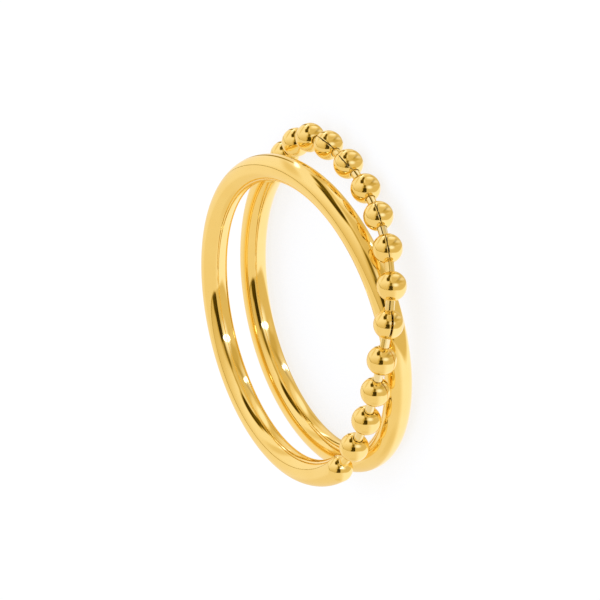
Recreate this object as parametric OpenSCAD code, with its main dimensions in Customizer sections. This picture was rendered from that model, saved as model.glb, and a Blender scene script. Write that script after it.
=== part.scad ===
// Crossover ring lying on its side: one round wire bent into two hoops, and a
// strand of hollow balls on short pins that joins its two tips over the crossing.
// Angles run round the ring's own axis, from the crossing at 0 degrees.

/* [Hoops] */
// Inside diameter of the ring
finger_d = 17.3; // [17.1:0.1:17.6]
// Thickness of the round wire
wire_d = 1.64; // [1.5:0.02:1.7]
// How far each hoop stands from the ring's mid-width
hoop_offset = 1.62; // [1.58:0.01:1.7]
// How much the hoops are drawn flat across the palm side
hoop_levelling = 0.165; // [0.12:0.005:0.2]
// How much the hoops are rounded where they leave the palm side
hoop_rounding = 0.03; // [0:0.01:0.05]
// How far the wire is drawn inward where it crosses under the strand
crossing_draw = 0.22; // [0.2:0.01:0.25]
// Angle along the wire from the crossing to the tip of the upper hoop
upper_turn = 272.4; // [271:0.1:273]
// Angle along the wire from the crossing to the tip of the lower hoop
lower_turn = 258.6; // [257:0.1:260]

/* [Ball strand] */
// Diameter of a ball
ball_d = 1.78; // [1.7:0.02:1.8]
// Distance between the middles of neighbouring balls
ball_pitch = 2.23; // [2.2:0.01:2.26]
// Extra length of the first three pins, next to the upper hoop's tip
long_pin_extra = 0.37; // [0.3:0.01:0.42]
// Thickness of a ball's shell
ball_wall = 0.16; // [0.12:0.01:0.18]
// Width of the seam in a ball
seam_w = 0.05; // [0.04:0.01:0.1]
// Width of the one seam that stands open
open_seam_w = 0.12; // [0.1:0.01:0.14]
// Diameter of a pin
pin_d = 0.56; // [0.5:0.02:0.58]
// Diameter of the holes that the pins come out of
hole_d = 0.61; // [0.6:0.01:0.68]
// Diameter of a pin's head inside a ball
pin_head_d = 0.72; // [0.7:0.01:0.74]

/* [Resting place] */
// Lean about X that brings the lowest points of the ring onto the surface
rest_roll = 0.42; // [0.3:0.02:0.5]
// Lean about Y that brings the lowest points of the ring onto the surface
rest_pitch = 1.56; // [1.4:0.02:1.6]

/* [Hidden] */
BALLS = 14;

wire_r = wire_d / 2;
ball_r = ball_d / 2;
pin_r = pin_d / 2;
hoop_r = finger_d / 2 + wire_r;

// Way of the strand from the upper hoop's tip to the lower hoop's tip
ANGLE = 0;
BEYOND = 1;
HEIGHT = 2;
// Angle, distance beyond the hoops' middle radius, height over mid-width
strand_way = [
    [-90, 0.18, 1.32],
    [-60, -0.32, 1.12],
    [-30, 0.73, 1.14],
    [0, 1.73, -0.04],
    [30, 1.28, -1.01],
    [60, 1.48, -0.96],
    [90, 0.38, -1.38],
    [120, -0.32, -1.2]];
way_step = strand_way[1][ANGLE] - strand_way[0][ANGLE];
last_row = len(strand_way) - 1;

// Turn of each ball's seam about the strand, from facing straight outward
seam_turns = [120, 90, 25, 25, -15, 120, -25, -25, 120, -46, -45, 120, 60, 60];
open_seam_ball = 5;

// A pin's head in a ball: where it starts and ends, from the ball's middle
head_near = 0.43;
head_far = 0.61;
head_edge = 0.03;

// Sections of the swept wire, and the turn over which its heading is taken
sides = 24;
wire_sections = 120;
dome_angles = [25, 40, 55];
heading_turn = 1;

// Smoothness of the balls and of the round pins and holes
ball_sides = 64;
pin_sides = 48;

// Turns round the ring between which the next ball is looked for
nearest_turn = 3;
farthest_turn = 30;

// Centre of the ring's outline and its lowest point, before it is set down
middle_x = 0.841;
middle_y = 0.276;
bottom_z = -2.197;

function unit(v) = v / norm(v);
function square_to(v, d) = unit(v - (v * d) * d);
function outward(a) = [cos(a), sin(a), 0];
function turned_side(out, heading, turn) =
    let (u = square_to(out, heading))
    cos(turn) * u + sin(turn) * cross(heading, u);

// Middle of the wire at a turn along it
function wire_at(a) =
    let (r = hoop_r - crossing_draw * cos(a / 2))
    [r * cos(a), r * sin(a),
     hoop_offset * sin(a / 2) + hoop_levelling * sin(3 * a / 2) - hoop_rounding * sin(5 * a / 2)];
function wire_heading(a) = unit(wire_at(a + heading_turn / 2) - wire_at(a - heading_turn / 2));

// Smooth curve through one column of the strand's way; rows past the ends repeat the end slope
function way_row(i, col) =
    i < 0 ? 2 * strand_way[0][col] - strand_way[1][col] :
    i > last_row ? 2 * strand_way[last_row][col] - strand_way[last_row - 1][col] :
    strand_way[i][col];
function way_value(a, col) =
    let (
        t = (a - strand_way[0][ANGLE]) / way_step,
        i = max(0, min(last_row - 1, floor(t))),
        u = t - i,
        before = way_row(i - 1, col),
        from = way_row(i, col),
        to = way_row(i + 1, col),
        after = way_row(i + 2, col))
    0.5 * (2 * from + (to - before) * u + (2 * before - 5 * from + 4 * to - after) * u * u
        + (after - before + 3 * (from - to)) * u * u * u);
function strand_at(a) =
    let (r = hoop_r + way_value(a, BEYOND))
    [r * cos(a), r * sin(a), way_value(a, HEIGHT)];

// Angle at which the strand is a given distance from a point, found by halving
function angle_at(p, gap, low, high, rounds = 24) =
    let (mid = (low + high) / 2)
    rounds == 0 ? mid :
    norm(strand_at(mid) - p) < gap ? angle_at(p, gap, mid, high, rounds - 1) :
    angle_at(p, gap, low, mid, rounds - 1);

upper_tip = wire_at(upper_turn);
lower_tip = wire_at(-lower_turn);

function next_ball(k, a, p) =
    let (
        gap = ball_pitch + (k < 3 ? long_pin_extra : 0),
        b = angle_at(p, gap, a + nearest_turn, a + farthest_turn))
    k == BALLS ? [] : concat([b], next_ball(k + 1, b, strand_at(b)));
ball_angles = next_ball(0, upper_turn - 360, upper_tip);
balls = [for (a = ball_angles) strand_at(a)];
stops = concat([upper_tip], balls, [lower_tip]);

// One ring of points of the swept wire: middle, heading, outward side, radius
function section(middle, heading, out, r) =
    let (u = square_to(out, heading), w = cross(heading, u))
    [for (k = [0:sides - 1]) middle + r * (cos(360 * k / sides) * u + sin(360 * k / sides) * w)];

// Domed tip and its soldered pin, from the wire's end towards the nearest ball
function tip_sections(tip, ball, out) =
    let (
        d = unit(ball - tip),
        reach = norm(ball - tip),
        dome = [for (t = dome_angles) [wire_r * sin(t), wire_r * cos(t)]],
        pin = [
            [sqrt(wire_r * wire_r - pin_r * pin_r), pin_r],
            [reach - head_far, pin_r],
            [reach - head_far + head_edge, pin_head_d / 2],
            [reach - head_near - head_edge, pin_head_d / 2],
            [reach - head_near, pin_head_d / 2 - 2 * head_edge]])
    [for (s = concat(dome, pin)) [tip + s[0] * d, d, out, s[1]]];
function turned_round(rows) = [
    for (k = [len(rows) - 1:-1:0])
        [rows[k][0], -rows[k][1], rows[k][2], rows[k][3]]];

wire_turns = [
    for (k = [0:wire_sections])
        -lower_turn + (upper_turn + lower_turn) * k / wire_sections];
band_rows = concat(
    turned_round(tip_sections(lower_tip, balls[BALLS - 1], outward(-lower_turn))),
    [for (a = wire_turns) [wire_at(a), wire_heading(a), outward(a), wire_r]],
    tip_sections(upper_tip, balls[0], outward(upper_turn)));

module swept(rows) {
    last = len(rows) - 1;
    points = [for (row = rows) each section(row[0], row[1], row[2], row[3])];
    walls = [
        for (i = [0:last - 1], k = [0:sides - 1])
            let (
                a = i * sides + k,
                b = i * sides + (k + 1) % sides)
            each [[a, a + sides, b], [b, a + sides, b + sides]]];
    ends = [
        [for (k = [0:sides - 1]) k],
        [for (k = [sides - 1:-1:0]) last * sides + k]];
    polyhedron(points = points, faces = concat(walls, ends), convexity = 10);
}

// Turns the children's +Z to a direction and +X to the outward side
module along(p, heading, out) {
    u = square_to(out, heading);
    w = cross(heading, u);
    multmatrix([
        [u[0], w[0], heading[0], p[0]],
        [u[1], w[1], heading[1], p[1]],
        [u[2], w[2], heading[2], p[2]],
        [0, 0, 0, 1]])
        children();
}

// Sets the ring down as it rests, centred over the origin
module set_down() {
    translate([-middle_x, -middle_y, -bottom_z])
        rotate([rest_roll, rest_pitch, 0])
            children();
}

module band() {
    color("gold")
        set_down()
            swept(band_rows);
}

// Hollow ball with a hole towards each neighbour and a seam from hole to hole
module ball(k) {
    p = stops[k];
    before = unit(stops[k - 1] - p);
    after = unit(stops[k + 1] - p);
    heading = unit(after - before);
    out = outward(ball_angles[k - 1]);
    seam_side = turned_side(out, heading, seam_turns[k - 1]);
    gap = k == open_seam_ball ? open_seam_w : seam_w;
    color("goldenrod")
        set_down()
            difference() {
                along(p, heading, seam_side)
                    sphere(d = ball_d, $fn = ball_sides);
                along(p, heading, seam_side)
                    sphere(d = ball_d - 2 * ball_wall, $fn = ball_sides);
                for (d = [before, after])
                    along(p + head_near * d, d, seam_side)
                        cylinder(d = hole_d, h = ball_r, $fn = pin_sides);
                along(p, heading, seam_side)
                    translate([0, -gap / 2, -ball_d])
                        cube([ball_d, gap, 2 * ball_d]);
            }
}

// Loose pin between two balls, with a head inside each
module pin(k) {
    p = stops[k];
    reach = norm(stops[k + 1] - p);
    head_r = pin_head_d / 2;
    half = [
        [head_near, 0],
        [head_near, head_r - 2 * head_edge],
        [head_near + head_edge, head_r],
        [head_far - head_edge, head_r],
        [head_far, pin_r]];
    profile = concat(
        [for (s = half) [s[1], s[0]]],
        [for (i = [len(half) - 1:-1:0]) [half[i][1], reach - half[i][0]]]);
    color("khaki")
        set_down()
            along(p, unit(stops[k + 1] - p), outward(ball_angles[k - 1]))
                rotate_extrude($fn = pin_sides)
                    polygon(profile);
}

band();
for (k = [1:BALLS])
    ball(k);
for (k = [1:BALLS - 1])
    pin(k);
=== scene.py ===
"""Looks of the crossover ring: polished wire, hollow balls on pins, floor, light and camera.

The forms follow the part's own formulas, in millimetres round the ring's axis, and are set
down and turned into metres at the end. Angles are in degrees.
"""

import math

import bmesh
import bpy
import numpy as np
from mathutils import Matrix, Vector


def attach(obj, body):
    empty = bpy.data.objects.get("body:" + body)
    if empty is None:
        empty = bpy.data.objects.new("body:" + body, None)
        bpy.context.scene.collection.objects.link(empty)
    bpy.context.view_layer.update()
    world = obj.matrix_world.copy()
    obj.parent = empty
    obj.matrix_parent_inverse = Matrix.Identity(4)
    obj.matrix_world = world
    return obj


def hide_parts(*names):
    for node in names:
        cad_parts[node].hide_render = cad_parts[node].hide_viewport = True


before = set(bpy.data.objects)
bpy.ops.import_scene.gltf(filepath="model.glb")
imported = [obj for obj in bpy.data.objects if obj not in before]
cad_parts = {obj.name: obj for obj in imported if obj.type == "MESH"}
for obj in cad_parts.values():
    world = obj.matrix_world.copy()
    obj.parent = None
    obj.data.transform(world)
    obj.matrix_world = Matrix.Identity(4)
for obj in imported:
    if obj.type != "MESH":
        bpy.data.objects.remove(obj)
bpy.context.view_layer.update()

MM = 0.001

# Hoops
FINGER_D = 17.3
WIRE_R = 0.82
HOOP_R = FINGER_D / 2 + WIRE_R
HOOP_OFFSET = 1.62
HOOP_LEVELLING = 0.165
HOOP_ROUNDING = 0.03
CROSSING_DRAW = 0.22
UPPER_TURN = 272.4
LOWER_TURN = 258.6

# Ball strand
BALLS = 14
BALL_R = 0.89
BALL_WALL = 0.16
BALL_PITCH = 2.23
LONG_PIN_EXTRA = 0.37
LONG_GAPS = 3
SEAM_W = 0.05
OPEN_SEAM_W = 0.12
OPEN_SEAM_BALL = 5
HOLE_R = 0.305
RIM_ROUND = 0.012
PIN_R = 0.28
PIN_HEAD_R = 0.36
HEAD_NEAR = 0.43
HEAD_FAR = 0.61
HEAD_EDGE = 0.03
SOLDER_FILLET = 0.1

# Way of the strand: angle, distance beyond the hoops' middle radius, height over mid-width
STRAND_WAY = np.array([
    [-90, 0.18, 1.32],
    [-60, -0.32, 1.12],
    [-30, 0.73, 1.14],
    [0, 1.73, -0.04],
    [30, 1.28, -1.01],
    [60, 1.48, -0.96],
    [90, 0.38, -1.38],
    [120, -0.32, -1.2]])
WAY_STEP = 30
NEAREST_TURN = 3
FARTHEST_TURN = 30
HALVINGS = 40

# Turn of each ball's seam about the strand, from facing straight outward, ball by ball
SEAM_TURNS = [120, 90, 25, 25, -15, 120, -25, -25, 120, -46, -45, 120, 60, 60]

# Where the ring lies
REST_ROLL = 0.42
REST_PITCH = 1.56
MIDDLE = np.array([0.841, 0.276, -2.197])

# Fineness of the meshes, and the turn over which the wire's heading is taken
WIRE_SECTIONS = 720
WIRE_SIDES = 64
TIP_ROWS = 21
FILLET_ROWS = 6
BALL_ROWS = 44
BALL_COLUMNS = 96
PIN_ROWS = 12
PIN_SIDES = 48
HEADING_TURN = 1

# Angles between faces over which an edge is shown as a crease
CREASE = 40
PIN_CREASE = 30

# A domed tip: how far up it turns towards its pin, and how much longer than high its fillet is
TIP_TURN_END = 45
FILLET_STRETCH = 0.8
# Part of a rim's rounding that its middle row has
LIP_SHARE = 0.3


def unit(v):
    return v / np.linalg.norm(v)


def square_to(v, d):
    return unit(v - (v @ d) * d)


def outward(a):
    return np.array([math.cos(math.radians(a)), math.sin(math.radians(a)), 0.0])


def turned_side(out, heading, turn):
    u = square_to(out, heading)
    t = math.radians(turn)
    return math.cos(t) * u + math.sin(t) * np.cross(heading, u)


def wire_at(a):
    """Middle of the wire at a turn along it."""
    half = math.radians(a) / 2
    r = HOOP_R - CROSSING_DRAW * math.cos(half)
    z = HOOP_OFFSET * math.sin(half) + HOOP_LEVELLING * math.sin(3 * half)
    z -= HOOP_ROUNDING * math.sin(5 * half)
    return np.array([r * math.cos(2 * half), r * math.sin(2 * half), z])


def wire_heading(a):
    return unit(wire_at(a + HEADING_TURN / 2) - wire_at(a - HEADING_TURN / 2))


def way_value(a, column):
    """Smooth curve through one column of the strand's way."""
    values = STRAND_WAY[:, column]
    values = np.concatenate([[2 * values[0] - values[1]], values, [2 * values[-1] - values[-2]]])
    t = (a - STRAND_WAY[0, 0]) / WAY_STEP
    i = max(0, min(len(STRAND_WAY) - 2, math.floor(t)))
    u = t - i
    before, start, end, after = values[i:i + 4]
    return 0.5 * (2 * start + (end - before) * u
                  + (2 * before - 5 * start + 4 * end - after) * u ** 2
                  + (after - before + 3 * (start - end)) * u ** 3)


def strand_at(a):
    r = HOOP_R + way_value(a, 1)
    t = math.radians(a)
    return np.array([r * math.cos(t), r * math.sin(t), way_value(a, 2)])


def next_angle(p, gap, a):
    """Angle at which the strand is a given distance from a point, found by halving."""
    low = a + NEAREST_TURN
    high = a + FARTHEST_TURN
    for _ in range(HALVINGS):
        mid = (low + high) / 2
        if np.linalg.norm(strand_at(mid) - p) < gap:
            low = mid
        else:
            high = mid
    return (low + high) / 2


def place_balls():
    """Angles of the balls, and the stops of the strand: upper tip, balls, lower tip."""
    stops = [wire_at(UPPER_TURN)]
    angles = []
    a = UPPER_TURN - 360
    for k in range(BALLS):
        gap = BALL_PITCH + (LONG_PIN_EXTRA if k < LONG_GAPS else 0)
        a = next_angle(stops[-1], gap, a)
        angles.append(a)
        stops.append(strand_at(a))
    stops.append(wire_at(-LOWER_TURN))
    return angles, stops


ball_angles, stops = place_balls()


def set_down(points):
    """Points round the ring's axis, in millimetres, to points of the resting ring, in metres."""
    turn = Matrix.Rotation(math.radians(REST_PITCH), 3, "Y")
    turn @= Matrix.Rotation(math.radians(REST_ROLL), 3, "X")
    return (np.asarray(points) @ np.array(turn).T - MIDDLE) * MM


def grid_faces(rows, columns, closed):
    """Quads between neighbouring rows of a grid of points."""
    faces = []
    for i in range(rows - 1):
        for k in range(columns if closed else columns - 1):
            a = i * columns + k
            b = i * columns + (k + 1) % columns
            faces.append((a, b, b + columns, a + columns))
    return faces


def smooth_piece(name, points, faces, crease=CREASE):
    """A mesh object of the resting ring, with smooth shading up to a crease angle."""
    mesh = bpy.data.meshes.new(name)
    mesh.from_pydata(set_down(points).tolist(), [], faces)
    work = bmesh.new()
    work.from_mesh(mesh)
    bmesh.ops.recalc_face_normals(work, faces=work.faces)
    work.to_mesh(mesh)
    work.free()
    mesh.shade_smooth()
    mesh.set_sharp_from_angle(angle=math.radians(crease))
    piece = bpy.data.objects.new(name, mesh)
    bpy.context.scene.collection.objects.link(piece)
    return piece


def finish_piece(piece, material, nodes):
    piece.data.materials.append(material)
    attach(piece, "root")
    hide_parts(*nodes)


def ring_of_points(middle, heading, out, r, sides):
    u = square_to(out, heading)
    w = np.cross(heading, u)
    t = np.arange(sides) * 2 * math.pi / sides
    return middle + r * (np.cos(t)[:, None] * u + np.sin(t)[:, None] * w)


def pin_head(reach):
    """Profile of a pin's head near a ball's middle: distance along the pin, radius."""
    near = reach - HEAD_NEAR
    far = reach - HEAD_FAR
    return [(far, PIN_R), (far + HEAD_EDGE, PIN_HEAD_R), (near - HEAD_EDGE, PIN_HEAD_R),
            (near, PIN_HEAD_R - 2 * HEAD_EDGE)]


def tip_rows(tip, ball, heading, out):
    """Domed tip of the wire with its soldered pin: middle, heading, outward side, radius."""
    d = unit(ball - tip)
    rows = []
    last = math.degrees(math.acos((PIN_R + SOLDER_FILLET) / WIRE_R))
    for t in np.linspace(0, last, TIP_ROWS + 1)[1:]:
        share = min(1, t / TIP_TURN_END)
        axis = unit(heading + (d - heading) * share * share * (3 - 2 * share))
        angle = math.radians(t)
        rows.append((tip + WIRE_R * math.sin(angle) * axis, axis, out, WIRE_R * math.cos(angle)))
    foot = WIRE_R * math.sin(math.radians(last))
    for t in np.linspace(0, 90, FILLET_ROWS + 1)[1:]:
        angle = math.radians(t)
        along = foot + SOLDER_FILLET * math.sin(angle) * FILLET_STRETCH
        r = PIN_R + SOLDER_FILLET * (1 - math.sin(angle)) ** 2
        rows.append((tip + along * d, d, out, r))
    for along, r in pin_head(np.linalg.norm(ball - tip)):
        rows.append((tip + along * d, d, out, r))
    return rows


def make_band(material):
    turns = np.linspace(-LOWER_TURN, UPPER_TURN, WIRE_SECTIONS + 1)
    rows = [(wire_at(a), wire_heading(a), outward(a), WIRE_R) for a in turns]
    start = tip_rows(stops[-1], stops[-2], -wire_heading(turns[0]), outward(turns[0]))
    start = [(p, -d, out, r) for p, d, out, r in reversed(start)]
    end = tip_rows(stops[0], stops[1], wire_heading(turns[-1]), outward(turns[-1]))
    rows = start + rows + end
    points = np.concatenate([ring_of_points(*row, WIRE_SIDES) for row in rows])
    faces = grid_faces(len(rows), WIRE_SIDES, closed=True)
    faces.append(tuple(reversed(range(WIRE_SIDES))))
    faces.append(tuple(range((len(rows) - 1) * WIRE_SIDES, len(rows) * WIRE_SIDES)))
    band = smooth_piece("polished_band", points, faces)
    finish_piece(band, material, ["band"])
    return band


def hole_edge(direction, r, hole_r, turn, basis):
    """Angle from the strand's heading at which a round hole meets a sphere, on one side of it."""
    u, w, heading = basis
    side = math.cos(turn) * (direction @ u) + math.sin(turn) * (direction @ w)
    along = direction @ heading
    open_angle = math.acos(math.sqrt(1 - (hole_r / r) ** 2) / math.hypot(along, side))
    middle = math.atan2(side, along) % (2 * math.pi)
    if along > 0:
        return (middle + open_angle) % (2 * math.pi)
    return middle - open_angle


def make_ball(k, material):
    """Hollow ball: an outer and an inner wall joined at both hole rims and along the seam."""
    p = stops[k]
    before = unit(stops[k - 1] - p)
    after = unit(stops[k + 1] - p)
    heading = unit(after - before)
    u = turned_side(outward(ball_angles[k - 1]), heading, SEAM_TURNS[k - 1])
    basis = (u, np.cross(heading, u), heading)
    rows = np.linspace(0, 1, BALL_ROWS + 1)

    def wall(r, hole_r, seam_half):
        """Rows from the hole towards the next ball to the hole towards the last one."""
        points = []
        for column in range(BALL_COLUMNS + 1):
            share = column / BALL_COLUMNS
            top = hole_edge(after, r, hole_r, 2 * math.pi * share, basis)
            low = hole_edge(before, r, hole_r, 2 * math.pi * share, basis)
            line = []
            for t in rows:
                tilt = top + (low - top) * t
                seam = math.asin(seam_half / (r * math.sin(tilt)))
                turn = seam + share * 2 * (math.pi - seam)
                flat = math.cos(turn) * basis[0] + math.sin(turn) * basis[1]
                line.append(p + r * (math.sin(tilt) * flat + math.cos(tilt) * heading))
            points.append(line)
        return np.array(points)

    half = (OPEN_SEAM_W if k == OPEN_SEAM_BALL else SEAM_W) / 2
    lip = RIM_ROUND * LIP_SHARE
    layers = [
        wall(BALL_R, HOLE_R + RIM_ROUND, half + RIM_ROUND),
        wall(BALL_R - lip, HOLE_R + lip, half + lip),
        wall(BALL_R - RIM_ROUND, HOLE_R, half),
        wall(BALL_R - BALL_WALL, HOLE_R, half)]
    columns = BALL_COLUMNS + 1
    size = columns * (BALL_ROWS + 1)
    points = np.concatenate([layer.reshape(-1, 3) for layer in layers])
    steps = len(layers) - 1
    shell = grid_faces(columns, BALL_ROWS + 1, closed=False)
    faces = list(shell)
    faces += [tuple(steps * size + n for n in reversed(face)) for face in shell]
    border = [i * (BALL_ROWS + 1) for i in range(columns)]
    border += [BALL_COLUMNS * (BALL_ROWS + 1) + j for j in range(1, BALL_ROWS + 1)]
    border += [i * (BALL_ROWS + 1) + BALL_ROWS for i in reversed(range(BALL_COLUMNS))]
    border += list(reversed(range(1, BALL_ROWS)))
    for step in range(steps):
        here = step * size
        inward = here + size
        for a, b in zip(border, border[1:] + border[:1]):
            faces.append((here + a, here + b, inward + b, inward + a))
    used = sorted(set(n for face in faces for n in face))
    place = {n: i for i, n in enumerate(used)}
    faces = [tuple(place[n] for n in face) for face in faces]
    ball = smooth_piece(f"polished_ball_{k:02d}", points[used], faces)
    finish_piece(ball, material, [f"ball_{k:02d}"])


def make_pin(k, material):
    """Loose pin with a head inside each of two balls."""
    p = stops[k]
    reach = np.linalg.norm(stops[k + 1] - p)
    heading = unit(stops[k + 1] - p)
    out = outward(ball_angles[k - 1])
    far_head = pin_head(reach)
    near_head = [(reach - along, r) for along, r in reversed(far_head)]
    stem = np.linspace(HEAD_FAR, reach - HEAD_FAR, PIN_ROWS)
    middle = [(along, PIN_R) for along in stem[1:-1]]
    profile = near_head + middle + far_head
    points = np.concatenate([
        ring_of_points(p + along * heading, heading, out, r, PIN_SIDES) for along, r in profile])
    faces = grid_faces(len(profile), PIN_SIDES, closed=True)
    faces.append(tuple(reversed(range(PIN_SIDES))))
    faces.append(tuple(range((len(profile) - 1) * PIN_SIDES, len(profile) * PIN_SIDES)))
    pin = smooth_piece(f"polished_pin_{k:02d}", points, faces, crease=PIN_CREASE)
    finish_piece(pin, material, [f"pin_{k:02d}"])


class Nodes:
    """Short forms for the nodes of one material or world."""

    def __init__(self, owner):
        owner.use_nodes = True
        self.tree = owner.node_tree
        self.tree.nodes.clear()

    def add(self, kind, **settings):
        node = self.tree.nodes.new(kind)
        for name, value in settings.items():
            setattr(node, name, value)
        return node

    def put(self, socket, value):
        if isinstance(value, bpy.types.NodeSocket):
            self.tree.links.new(value, socket)
        else:
            socket.default_value = value

    def math(self, operation, *values):
        node = self.add("ShaderNodeMath", operation=operation)
        for socket, value in zip(node.inputs, values):
            self.put(socket, value)
        return node.outputs[0]

    def dot(self, vector, other):
        node = self.add("ShaderNodeVectorMath", operation="DOT_PRODUCT")
        self.put(node.inputs[0], vector)
        self.put(node.inputs[1], other)
        return node.outputs["Value"]

    def step(self, value, low, high, out_low=0.0, out_high=1.0):
        """Smooth change of a value from one level to another."""
        node = self.add("ShaderNodeMapRange", interpolation_type="SMOOTHSTEP")
        for socket, v in zip(node.inputs, (value, low, high, out_low, out_high)):
            self.put(socket, v)
        return node.outputs[0]

    def mix(self, share, a, b):
        node = self.add("ShaderNodeMix")
        self.put(node.inputs[0], share)
        self.put(node.inputs[2], a)
        self.put(node.inputs[3], b)
        return node.outputs[0]

    def noise(self, vector, scale, detail=2.0, roughness=0.5):
        node = self.add("ShaderNodeTexNoise")
        self.put(node.inputs["Vector"], vector)
        self.put(node.inputs["Scale"], scale)
        self.put(node.inputs["Detail"], detail)
        self.put(node.inputs["Roughness"], roughness)
        return node.outputs["Fac"]


# Patterns of the gold: the scale and detail of each noise, and the span of it that is used
DRIFT_NOISE = (420.0, 3.0)
DRIFT_SPAN = (0.35, 0.65)
POLISH_NOISE = (900.0, 4.0)
POLISH_SPAN = (0.3, 0.7)
WAVE_NOISE = (650.0, 1.0)
SCRATCH_NOISE = (14000.0, 3.0, 0.6)
SCRATCH_DEPTH = 0.0004
SCRATCH_STRENGTH = 0.5
# Least and greatest roughness of the gold, as parts of its usual roughness
SMOOTHEST = 0.7
ROUGHEST = 1.4


def gold(name, colour, deep_colour, roughness, waviness):
    """Polished gold: faint colour drift, uneven polish, slow waves and fine scratches."""
    material = bpy.data.materials.new(name)
    n = Nodes(material)
    place = n.add("ShaderNodeTexCoord").outputs["Object"]
    drift = n.step(n.noise(place, *DRIFT_NOISE), *DRIFT_SPAN)
    ramp = n.add("ShaderNodeMix", data_type="RGBA")
    n.put(ramp.inputs[0], drift)
    n.put(ramp.inputs[6], (*colour, 1))
    n.put(ramp.inputs[7], (*deep_colour, 1))
    uneven = n.noise(place, *POLISH_NOISE)
    polish = n.step(uneven, *POLISH_SPAN, roughness * SMOOTHEST, roughness * ROUGHEST)
    waves = n.add("ShaderNodeBump")
    n.put(waves.inputs["Strength"], 1.0)
    n.put(waves.inputs["Distance"], waviness * MM)
    n.put(waves.inputs["Height"], n.noise(place, *WAVE_NOISE))
    scratches = n.add("ShaderNodeBump")
    n.put(scratches.inputs["Strength"], SCRATCH_STRENGTH)
    n.put(scratches.inputs["Distance"], SCRATCH_DEPTH * MM)
    n.put(scratches.inputs["Height"], n.noise(place, *SCRATCH_NOISE))
    n.put(scratches.inputs["Normal"], waves.outputs["Normal"])
    shader = n.add("ShaderNodeBsdfPrincipled")
    n.put(shader.inputs["Base Color"], ramp.outputs[2])
    n.put(shader.inputs["Roughness"], polish)
    n.put(shader.inputs["Normal"], scratches.outputs["Normal"])
    n.put(shader.inputs["Metallic"], 1.0)
    n.put(n.add("ShaderNodeOutputMaterial").inputs["Surface"], shader.outputs[0])
    return material


# Camera: at the photo's angle to the ring, which lies on its side below it
CAMERA_AIM = Vector((-0.8664, 0.697, 2.5287)) * MM
CAMERA_DISTANCE = 200 * MM
CAMERA_AZIMUTH = -8.0189
CAMERA_ELEVATION = 25.8682
CAMERA_ROLL = 102.7292
CAMERA_LENS = 197.22
SENSOR_W = 36
CLIP_START = 10 * MM


def view_axes():
    """Right, up and back of the camera, as unit vectors."""
    azimuth = math.radians(CAMERA_AZIMUTH)
    elevation = math.radians(CAMERA_ELEVATION)
    flat = math.cos(elevation)
    back = Vector((flat * math.cos(azimuth), flat * math.sin(azimuth), math.sin(elevation)))
    level = Vector((0, 0, 1)).cross(back).normalized()
    turn = Matrix.Rotation(math.radians(-CAMERA_ROLL), 3, back)
    right = turn @ level
    return right, back.cross(right), back


def make_camera():
    right, up, back = view_axes()
    data = bpy.data.cameras.new("camera")
    data.lens = CAMERA_LENS
    data.sensor_width = SENSOR_W
    data.clip_start = CLIP_START
    camera = bpy.data.objects.new("camera", data)
    camera.matrix_world = Matrix.Translation(CAMERA_AIM + CAMERA_DISTANCE * back) @ Matrix(
        (right, up, back)).transposed().to_4x4()
    bpy.context.scene.collection.objects.link(camera)
    bpy.context.scene.camera = camera


# Studio seen in the ring: places are degrees right and up of the direction to the camera.
# The table's edge is level below the middle and bends up away from it: side, start, rise.
TABLE_EDGE = 33
EDGE_BENDS = [(-1, 0, 0.0023), (-1, 80, 0.024), (1, 60, 0.009)]
# Blur of the edge, which grows to the right of a place
EDGE_BLUR = 0.8
BLUR_START = 20.0
BLUR_RISE = 0.08

# Light of the table and the walls: where a change starts and ends, light before and after it
TABLE_CHANGE = (5.0, 50.0, 0.79, 1.04)
FAR_TABLE_CHANGE = (-114.0, -98.0)
FAR_TABLE_LIGHT = 0.87
LEFT_WALL_CHANGE = (-38.0, 45.0, 0.55, 0.94)
WALL_CORNER = (-14.0, 4.0)
RIGHT_WALL_LIGHT = 0.6

# Dark line along the left of the table's edge: its light, where it fades out, and how
# its half width and its depth change from the far left to the near left
LINE_LIGHT = 0.12
LINE_FADE = (-8.0, -2.0)
LINE_CORE = 0.6
LINE_CHANGE = (-94.0, -80.0)
LINE_WIDTHS = (5.0, 1.6)
LINE_DEPTHS = (0.95, 0.6)

# Rounded patches of the studio: centre, radii, turn, softness, squareness, light.
# Those whose centre is less than this far up or down are on the walls and end at the edge.
WALL_REACH = 50
PATCHES = [
    ((-12, -8), (16, 24), 0, 0.6, 2, 0.45),
    ((55, 33), (34, 12), 10, 0.5, 2, 0.47),
    ((60, 57), (28, 8), 45, 0.5, 2, 0.35),
    ((86, 24), (22, 6), 10, 0.5, 2, 0.67),
    ((30, 78), (30, 9), 0, 0.4, 2, 0.82),
    ((38, 92), (30, 11), 0, 0.4, 2, 1.06),
    ((10, 132), (50, 16), 0, 0.6, 2, 0.84),
    ((58, 116), (14, 9), 0, 0.5, 2, 0.5),
    ((-14, -106), (26, 14), 0, 0.6, 2, 0.72),
    ((-53, 133), (31, 9), -36, 0.4, 3, 0.2),
    ((-70, 70), (42, 7), 62, 0.6, 2, 0.72),
    ((-12, 33), (7, 10), 0, 0.6, 2, 0.45),
    ((-6, 13), (9, 12), 0, 0.4, 3, 0.13),
    ((-6, -15.5), (14, 17), 0, 0.1, 6, 0.03),
    ((-14, -27), (13, 8), 0, 0.3, 3, 0.05),
    ((-27, 54), (14, 17), 0, 0.28, 3, 0.035),
    ((-18, 77), (10, 24), -20, 0.32, 2, 0.09)]

# Soft glows of the lamps: centre, radii, turn, softness, light
GLOWS = [
    ((29, 8), (19, 11), 0, 0.8, 0.5),
    ((88, 62), (30, 12), 8, 0.8, 0.22),
    ((-28, 110.5), (20, 3), 45, 0.65, 1.2)]
LAMP_COLOUR = (0.75, 1.1, 2.1)

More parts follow.
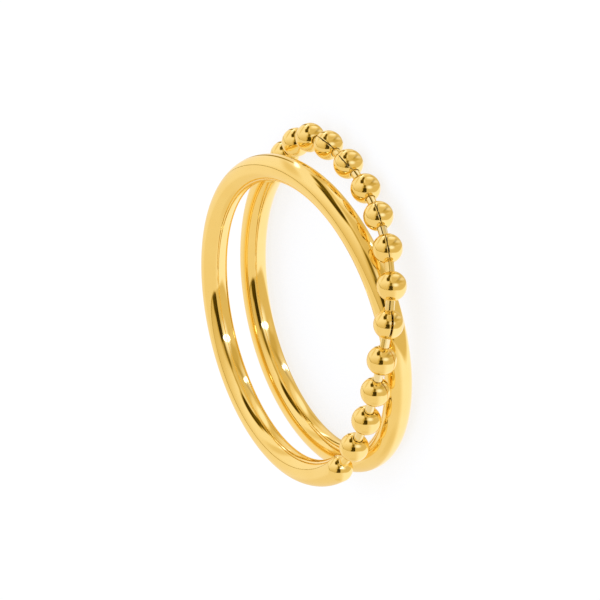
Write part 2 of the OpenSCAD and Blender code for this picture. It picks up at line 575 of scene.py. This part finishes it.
# Colour of the tent by its light: darker places are warmer
RED_DARK = 1.57
RED_FALL = 0.53
GREEN = 0.97
BLUE = 0.96
BLUE_POWER = 2.2

# Lamps that show as white dots in the wire: centre, half length and half width, turn.
# The last three stand in a bent row and make one dot.
DOT_LAMPS = [
    ((30, 9.6), (32, 3.2), 14),
    ((65, 59.4), (14, 2.5), 8),
    ((90, 63), (14, 2.5), 8),
    ((112, 66), (10, 2.5), 8)]
DOT_DISTANCE = 300 * MM
DOT_LIGHT = 1.6

# Even light that everything but a mirror sees
PLAIN_LIGHT = 1.0

# Stands in for nought where something is divided by it
NEARLY_NOUGHT = 1e-4


def studio_direction(x, y):
    """Direction of a place in the studio, from degrees right and up of the camera's direction."""
    right, up, back = view_axes()
    away = math.hypot(x, y)
    side = (x * right + y * up) / away
    return math.cos(math.radians(away)) * back + math.sin(math.radians(away)) * side


def make_dot_lamps(band):
    """Long narrow lamps that light the wire alone; the balls mirror only their glow."""
    lit = bpy.data.collections.new("lit_by_dot_lamps")
    lit.objects.link(band)
    for k, (centre, radii, turn) in enumerate(DOT_LAMPS):
        t = math.radians(turn)
        middle = studio_direction(*centre)
        cos, sin = math.cos(t), math.sin(t)
        end = studio_direction(centre[0] + radii[0] * cos, centre[1] + radii[0] * sin)
        edge = studio_direction(centre[0] - radii[1] * sin, centre[1] + radii[1] * cos)
        along = (end - end.dot(middle) * middle).normalized()
        across = middle.cross(along)
        data = bpy.data.lights.new(f"dot_lamp_{k}", "AREA")
        data.shape = "ELLIPSE"
        data.size = 2 * DOT_DISTANCE * math.tan(middle.angle(end))
        data.size_y = 2 * DOT_DISTANCE * abs(edge.dot(across))
        data.color = LAMP_COLOUR
        data.energy = DOT_LIGHT * math.pi * data.size * data.size_y
        lamp = bpy.data.objects.new(f"dot_lamp_{k}", data)
        lamp.matrix_world = Matrix.Translation(DOT_DISTANCE * middle) @ Matrix(
            (along, across, middle)).transposed().to_4x4()
        lamp.visible_camera = False
        lamp.light_linking.receiver_collection = lit
        bpy.context.scene.collection.objects.link(lamp)


def studio_light():
    """A pale tent with a table, two walls, the dark shape of a stand, and soft glows."""
    world = bpy.data.worlds.new("studio")
    bpy.context.scene.world = world
    n = Nodes(world)
    direction = n.add("ShaderNodeTexCoord").outputs["Generated"]
    right, up, back = view_axes()
    a = n.dot(direction, right)
    b = n.dot(direction, up)
    c = n.dot(direction, back)
    off = n.math("SQRT", n.math("ADD", n.math("MULTIPLY", a, a), n.math("MULTIPLY", b, b)))
    away = n.math("DEGREES", n.math("ARCCOSINE", c))
    swing = n.math("DIVIDE", away, n.math("MAXIMUM", off, NEARLY_NOUGHT))
    x = n.math("MULTIPLY", a, swing)
    y = n.math("MULTIPLY", b, swing)

    def patch(centre, radii, turn, soft, square):
        """One inside an ellipse or rounded box of directions, nought outside it."""
        t = math.radians(turn)
        cos, sin = math.cos(t), math.sin(t)
        dx = n.math("SUBTRACT", x, centre[0])
        dy = n.math("SUBTRACT", y, centre[1])
        p = n.math("ADD", n.math("MULTIPLY", dx, cos), n.math("MULTIPLY", dy, sin))
        q = n.math("SUBTRACT", n.math("MULTIPLY", dy, cos), n.math("MULTIPLY", dx, sin))
        p = n.math("POWER", n.math("ABSOLUTE", n.math("DIVIDE", p, radii[0])), square)
        q = n.math("POWER", n.math("ABSOLUTE", n.math("DIVIDE", q, radii[1])), square)
        far = n.math("POWER", n.math("ADD", p, q), 1 / square)
        return n.step(far, 1 - soft, 1 + soft, 1.0, 0.0)

    height = n.math("ADD", y, TABLE_EDGE)
    for side, start, rise in EDGE_BENDS:
        beyond = n.math("MAXIMUM", n.math("SUBTRACT", n.math("MULTIPLY", x, side), start), 0.0)
        bend = n.math("MULTIPLY", n.math("MULTIPLY", beyond, beyond), rise)
        height = n.math("SUBTRACT", height, bend)
    to_right = n.math("MAXIMUM", n.math("SUBTRACT", x, BLUR_START), 0.0)
    blur = n.math("ADD", n.math("MULTIPLY", to_right, BLUR_RISE), EDGE_BLUR)
    over_edge = n.step(n.math("DIVIDE", height, blur), -1.0, 1.0)
    wall = n.mix(n.step(x, *WALL_CORNER), n.step(y, *LEFT_WALL_CHANGE), RIGHT_WALL_LIGHT)
    table = n.step(x, *FAR_TABLE_CHANGE, FAR_TABLE_LIGHT, n.step(x, *TABLE_CHANGE))
    light = n.mix(over_edge, table, wall)
    for centre, radii, turn, soft, square, level in PATCHES:
        inside = patch(centre, radii, turn, soft, square)
        if abs(centre[1]) < WALL_REACH:
            inside = n.math("MULTIPLY", inside, over_edge)
        light = n.mix(inside, light, level)
    width = n.step(x, *LINE_CHANGE, *LINE_WIDTHS)
    depth = n.step(x, *LINE_CHANGE, *LINE_DEPTHS)
    in_line = n.step(n.math("ABSOLUTE", height), LINE_CORE, width, 1.0, 0.0)
    edge_line = n.math("MULTIPLY", in_line, n.step(x, *LINE_FADE, depth, 0.0))
    light = n.mix(edge_line, light, LINE_LIGHT)
    redness = n.math("SUBTRACT", RED_DARK, n.math("MULTIPLY", light, RED_FALL))
    colour = n.add("ShaderNodeCombineColor")
    n.put(colour.inputs[0], n.math("MULTIPLY", light, redness))
    n.put(colour.inputs[1], n.math("MULTIPLY", light, GREEN))
    n.put(colour.inputs[2], n.math("MULTIPLY", n.math("POWER", light, BLUE_POWER), BLUE))
    glow = 0.0
    for centre, radii, turn, soft, level in GLOWS:
        inside = patch(centre, radii, turn, soft, 2)
        glow = n.math("ADD", glow, n.math("MULTIPLY", inside, level))
    mirrored = n.add("ShaderNodeLightPath").outputs["Is Glossy Ray"]
    tent = n.add("ShaderNodeBackground")
    n.put(tent.inputs["Color"], colour.outputs[0])
    n.put(tent.inputs["Strength"], mirrored)
    lamp_light = n.add("ShaderNodeBackground")
    n.put(lamp_light.inputs["Color"], (*LAMP_COLOUR, 1))
    n.put(lamp_light.inputs["Strength"], n.math("MULTIPLY", glow, mirrored))
    plain = n.add("ShaderNodeBackground")
    n.put(plain.inputs["Color"], (1, 1, 1, 1))
    unmirrored = n.math("SUBTRACT", 1.0, mirrored)
    n.put(plain.inputs["Strength"], n.math("MULTIPLY", unmirrored, PLAIN_LIGHT))
    total = tent.outputs[0]
    for part in (lamp_light, plain):
        both = n.add("ShaderNodeAddShader")
        n.put(both.inputs[0], total)
        n.put(both.inputs[1], part.outputs[0])
        total = both.outputs[0]
    n.put(n.add("ShaderNodeOutputWorld").inputs["Surface"], total)


FLOOR_R = 600 * MM
FLOOR_SIDES = 128
FLOOR_COLOUR = (0.26, 0.27, 0.3)
FLOOR_NOISE = (300.0, 3.0)
FLOOR_SPAN = (0.3, 0.7)
FLOOR_ROUGHNESS = (0.8, 0.95)
FLOOR_GLOW = 0.76


def make_floor():
    """Pale floor, lit a little from within like a lamp table; the gold mirrors the tent alone."""
    bpy.ops.mesh.primitive_circle_add(vertices=FLOOR_SIDES, radius=FLOOR_R, fill_type="NGON")
    floor = bpy.context.object
    floor.name = "floor"
    floor.visible_glossy = False
    material = bpy.data.materials.new("pale_floor")
    n = Nodes(material)
    place = n.add("ShaderNodeTexCoord").outputs["Object"]
    shader = n.add("ShaderNodeBsdfPrincipled")
    n.put(shader.inputs["Base Color"], (*FLOOR_COLOUR, 1))
    grain = n.noise(place, *FLOOR_NOISE)
    n.put(shader.inputs["Roughness"], n.step(grain, *FLOOR_SPAN, *FLOOR_ROUGHNESS))
    n.put(shader.inputs["Specular IOR Level"], 0.0)
    n.put(shader.inputs["Emission Color"], (1, 1, 1, 1))
    n.put(shader.inputs["Emission Strength"], FLOOR_GLOW)
    n.put(n.add("ShaderNodeOutputMaterial").inputs["Surface"], shader.outputs[0])
    floor.data.materials.append(material)


make_camera()
bpy.context.scene.view_settings.view_transform = "Standard"
studio_light()
make_floor()

GOLD = (0.99, 0.79, 0.31)
DEEP_GOLD = (0.98, 0.77, 0.29)
PALE_GOLD = (0.95, 0.84, 0.5)
band_gold = gold("band_gold", GOLD, DEEP_GOLD, roughness=0.06, waviness=0.002)
ball_gold = gold("ball_gold", GOLD, DEEP_GOLD, roughness=0.08, waviness=0.001)
pin_gold = gold("pin_gold", PALE_GOLD, GOLD, roughness=0.1, waviness=0.001)
make_dot_lamps(make_band(band_gold))
for k in range(1, BALLS + 1):
    make_ball(k, ball_gold)
for k in range(1, BALLS):
    make_pin(k, pin_gold)
